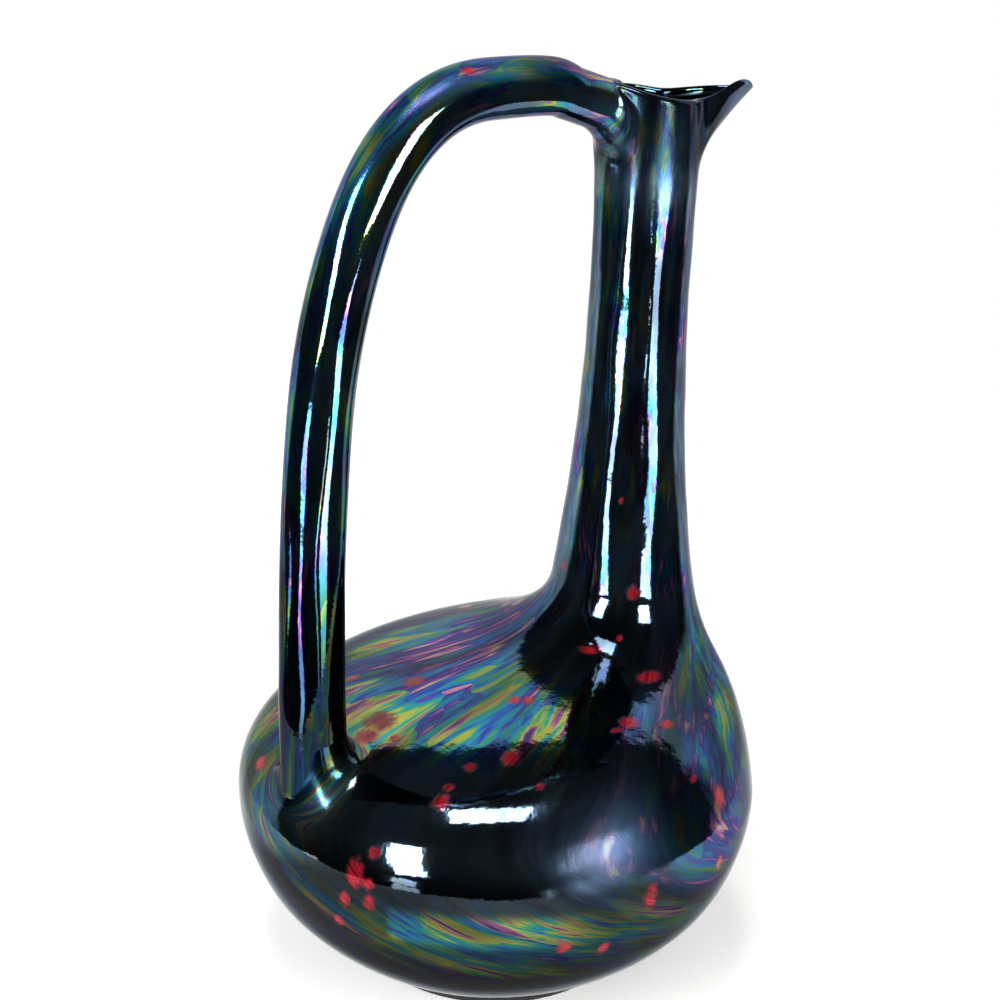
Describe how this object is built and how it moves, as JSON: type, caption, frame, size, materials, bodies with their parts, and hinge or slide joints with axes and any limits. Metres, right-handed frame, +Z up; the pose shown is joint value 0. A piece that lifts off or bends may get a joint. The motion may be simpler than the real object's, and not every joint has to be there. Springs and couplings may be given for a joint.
{
  "type": "ewer",
  "caption": "Squat round ceramic ewer with a slender off-centre neck, a pinched pouring lip and one tall solid loop handle, for holding and pouring a liquid.",
  "frame": {"origin": "centre of the foot ring, on the plane that the ewer stands on", "axes": "+Z up, +X toward the pouring lip, the handle on the -X side, XZ the plane that the neck and the handle lie in"},
  "size_m": [0.1559, 0.15, 0.2615],
  "materials": {
    "lustre_glaze": "mirror-smooth dark metallic lustre glaze with iridescent streaks",
    "bare_clay": "fired earthenware, turned and left bare",
    "luting_slip": "fired slip of the same clay"
  },
  "bodies": {
    "root": {"foot_ring": "bare_clay", "foot_slip": "luting_slip", "lower_bowl": "lustre_glaze", "belly_slip": "luting_slip", "shoulder": "lustre_glaze", "neck_slip": "luting_slip", "neck": "lustre_glaze", "lip_slip": "luting_slip", "mouth_lip": "lustre_glaze", "handle_foot_slip": "luting_slip", "handle_foot_coil": "lustre_glaze", "handle": "lustre_glaze", "handle_top_slip": "luting_slip", "handle_top_coil": "lustre_glaze"}
  },
  "joints": []
}
